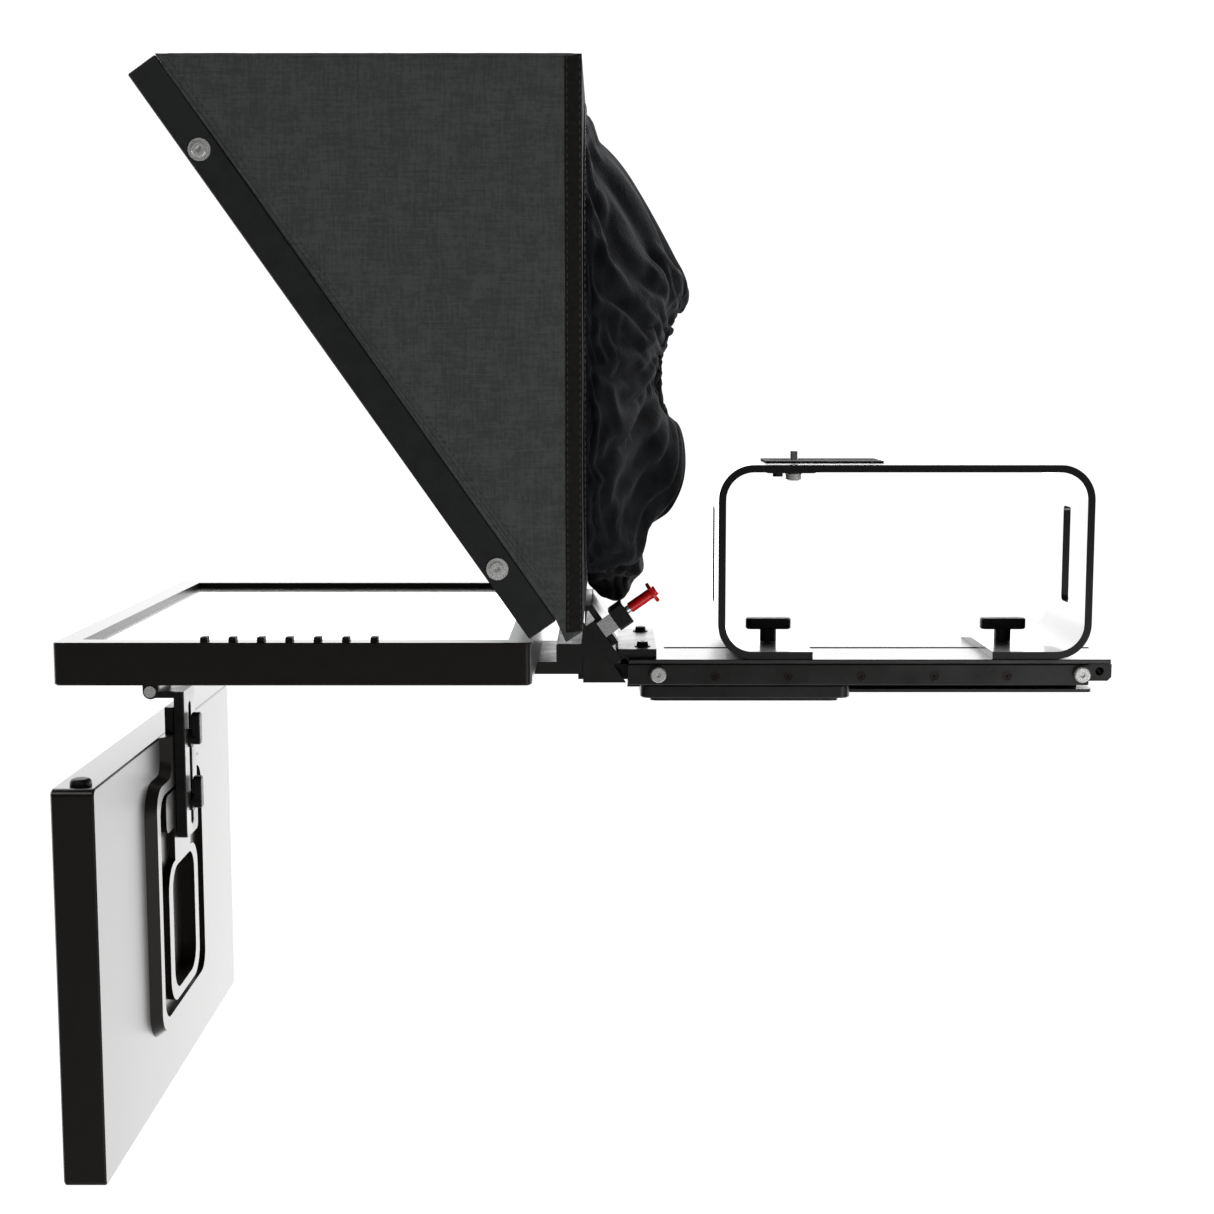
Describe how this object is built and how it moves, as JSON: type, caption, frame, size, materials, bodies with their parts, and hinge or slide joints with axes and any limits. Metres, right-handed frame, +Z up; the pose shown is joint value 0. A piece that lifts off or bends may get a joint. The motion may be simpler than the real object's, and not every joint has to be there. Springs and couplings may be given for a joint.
{
  "type": "teleprompter",
  "caption": "Camera-mounted teleprompter: fabric hood with slanted beamsplitter glass over a flat monitor, hanging talent monitor, slotted base with camera riser",
  "frame": {"origin": "middle of the tripod plate's underside, at the mouth of its centre threaded hole", "axes": "+Z up, +X towards the camera operator, so the talent is at -X; Y runs across the glass"},
  "size_m": [0.7714, 0.454, 0.7781],
  "materials": {
    "black_anodised": "satin",
    "gloss_black_metal": "gloss",
    "monitor_plastic": "satin",
    "black_plastic": "satin",
    "screen": "gloss",
    "beamsplitter": "gloss",
    "hood_fabric": "matte",
    "shroud_cloth": "matte",
    "steel": "satin",
    "bright_aluminium": "satin",
    "red_plastic": "gloss",
    "rubber_pad": "matte",
    "circuit_board": "satin",
    "panel_case": "satin"
  },
  "bodies": {
    "tripod": {"tripod_plate": "black_anodised"},
    "base": {"balance_plate": "black_anodised", "base_spine": "black_anodised", "base_rail_near": "black_anodised", "base_rail_far": "black_anodised", "base_top_plate": "black_anodised", "base_end_block": "black_anodised", "base_screws": "black_anodised", "bracket_gusset_near": "black_anodised", "bracket_gusset_far": "black_anodised", "bracket_slope_plate": "black_anodised", "plunger_housing": "black_anodised", "plunger_post": "bright_aluminium", "plunger_spring": "steel"},
    "plunger": {"plunger_stem": "steel", "plunger_knob": "red_plastic"},
    "thumb_screw_front": {"thumb_screw_front": "steel"},
    "thumb_screw_rear": {"thumb_screw_rear": "steel"},
    "riser": {"riser": "gloss_black_metal", "riser_slot_nuts": "steel", "camera_pad": "rubber_pad"},
    "riser_knob_front": {"riser_knob_front": "black_plastic"},
    "riser_knob_rear": {"riser_knob_rear": "black_plastic"},
    "camera_washer": {"camera_screw_washer": "black_plastic"},
    "camera_screw": {"camera_screw": "steel"},
    "hood": {"hood_tongue": "black_anodised", "glass_frame": "black_anodised", "beamsplitter_glass": "beamsplitter", "hood_side_near": "hood_fabric", "hood_side_far": "hood_fabric", "hood_top": "hood_fabric", "hood_rear": "hood_fabric", "lens_shroud": "shroud_cloth", "frame_screws": "steel"},
    "prompter": {"monitor_arm": "black_anodised", "prompter_vesa_plate": "black_anodised", "prompter_back": "monitor_plastic", "prompter_bezel": "monitor_plastic", "prompter_screen": "screen", "prompter_lcd_module": "panel_case", "prompter_driver_board": "circuit_board", "talent_fold_bracket": "black_anodised"},
    "talent_arm": {"talent_arm_bar": "black_anodised", "talent_hinge_pin": "steel"},
    "talent": {"talent_slide_bar": "black_anodised", "talent_back": "monitor_plastic", "talent_bezel": "monitor_plastic", "talent_screen": "screen", "talent_lcd_module": "panel_case", "talent_driver_board": "circuit_board"},
    "talent_button": {"talent_power_button": "black_plastic"},
    "lever_upper": {"clamp_lever_upper": "black_plastic"},
    "lever_lower": {"clamp_lever_lower": "black_plastic"},
    "button_1": {"monitor_button_1": "black_plastic"},
    "button_2": {"monitor_button_2": "black_plastic"},
    "button_3": {"monitor_button_3": "black_plastic"},
    "button_4": {"monitor_button_4": "black_plastic"},
    "button_5": {"monitor_button_5": "black_plastic"},
    "button_6": {"monitor_button_6": "black_plastic"},
    "button_7": {"monitor_button_7": "black_plastic"}
  },
  "joints": [
    {"name": "balance_slide", "type": "slide", "parent": "tripod", "child": "base", "axis": [1, 0, 0], "range_m": [-0.12, 0]},
    {"name": "hood_slide", "type": "slide", "parent": "base", "child": "hood", "axis": [-0.5736, 0, 0.8192], "range_m": [0, 0.11]},
    {"name": "plunger_pull", "type": "slide", "parent": "base", "child": "plunger", "axis": [0.8192, 0, 0.5736], "range_m": [0, 0.005], "stiffness_N_per_m": 600, "springref_m": -0.01, "deforming": ["plunger_spring"]},
    {"name": "thumb_front_turn", "type": "hinge", "parent": "base", "child": "thumb_screw_front", "pos_m": [-0.0682, -0.065, 0.025], "axis": [0, 1, 0], "continuous": true},
    {"name": "thumb_rear_turn", "type": "hinge", "parent": "base", "child": "thumb_screw_rear", "pos_m": [0.2568, -0.065, 0.025], "axis": [0, 1, 0], "continuous": true},
    {"name": "riser_slide", "type": "slide", "parent": "base", "child": "riser", "axis": [1, 0, 0], "range_m": [-0.012, 0.045]},
    {"name": "riser_knob_front_turn", "type": "hinge", "parent": "riser", "child": "riser_knob_front", "pos_m": [0.0214, 0, 0.045], "axis": [0, 0, 1], "continuous": true},
    {"name": "riser_knob_rear_turn", "type": "hinge", "parent": "riser", "child": "riser_knob_rear", "pos_m": [0.209, 0, 0.045], "axis": [0, 0, 1], "continuous": true},
    {"name": "camera_screw_slide", "type": "slide", "parent": "riser", "child": "camera_washer", "axis": [1, 0, 0], "range_m": [-0.012, 0.17]},
    {"name": "camera_screw_turn", "type": "hinge", "parent": "camera_washer", "child": "camera_screw", "pos_m": [0.0405, 0, 0.18], "axis": [0, 0, 1], "continuous": true},
    {"name": "monitor_arm_slide", "type": "slide", "parent": "base", "child": "prompter", "axis": [1, 0, 0], "range_m": [-0.05, 0]},
    {"name": "button_1_press", "type": "slide", "parent": "prompter", "child": "button_1", "axis": [0, 0, -1], "range_m": [0, 0.0012], "stiffness_N_per_m": 300, "springref_m": -0.001},
    {"name": "button_2_press", "type": "slide", "parent": "prompter", "child": "button_2", "axis": [0, 0, -1], "range_m": [0, 0.0012], "stiffness_N_per_m": 300, "springref_m": -0.001},
    {"name": "button_3_press", "type": "slide", "parent": "prompter", "child": "button_3", "axis": [0, 0, -1], "range_m": [0, 0.0012], "stiffness_N_per_m": 300, "springref_m": -0.001},
    {"name": "button_4_press", "type": "slide", "parent": "prompter", "child": "button_4", "axis": [0, 0, -1], "range_m": [0, 0.0012], "stiffness_N_per_m": 300, "springref_m": -0.001},
    {"name": "button_5_press", "type": "slide", "parent": "prompter", "child": "button_5", "axis": [0, 0, -1], "range_m": [0, 0.0012], "stiffness_N_per_m": 300, "springref_m": -0.001},
    {"name": "button_6_press", "type": "slide", "parent": "prompter", "child": "button_6", "axis": [0, 0, -1], "range_m": [0, 0.0012], "stiffness_N_per_m": 300, "springref_m": -0.001},
    {"name": "button_7_press", "type": "slide", "parent": "prompter", "child": "button_7", "axis": [0, 0, -1], "range_m": [0, 0.0012], "stiffness_N_per_m": 300, "springref_m": -0.001},
    {"name": "talent_fold", "type": "hinge", "parent": "prompter", "child": "talent_arm", "pos_m": [-0.4693, 0, 0.0045], "axis": [0, 1, 0], "range_deg": [-15, 20]},
    {"name": "talent_height", "type": "slide", "parent": "talent_arm", "child": "talent", "axis": [0, 0, 1], "range_m": [-0.014, 0.005]},
    {"name": "talent_button_press", "type": "slide", "parent": "talent", "child": "talent_button", "axis": [0, 0, -1], "range_m": [0, 0.0015], "stiffness_N_per_m": 300, "springref_m": -0.001},
    {"name": "lever_upper_turn", "type": "hinge", "parent": "talent", "child": "lever_upper", "pos_m": [-0.44, 0, -0.0369], "axis": [1, 0, 0], "range_deg": [-90, 90]},
    {"name": "lever_lower_turn", "type": "hinge", "parent": "talent", "child": "lever_lower", "pos_m": [-0.44, 0, -0.0889], "axis": [1, 0, 0], "range_deg": [-90, 90]}
  ]
}
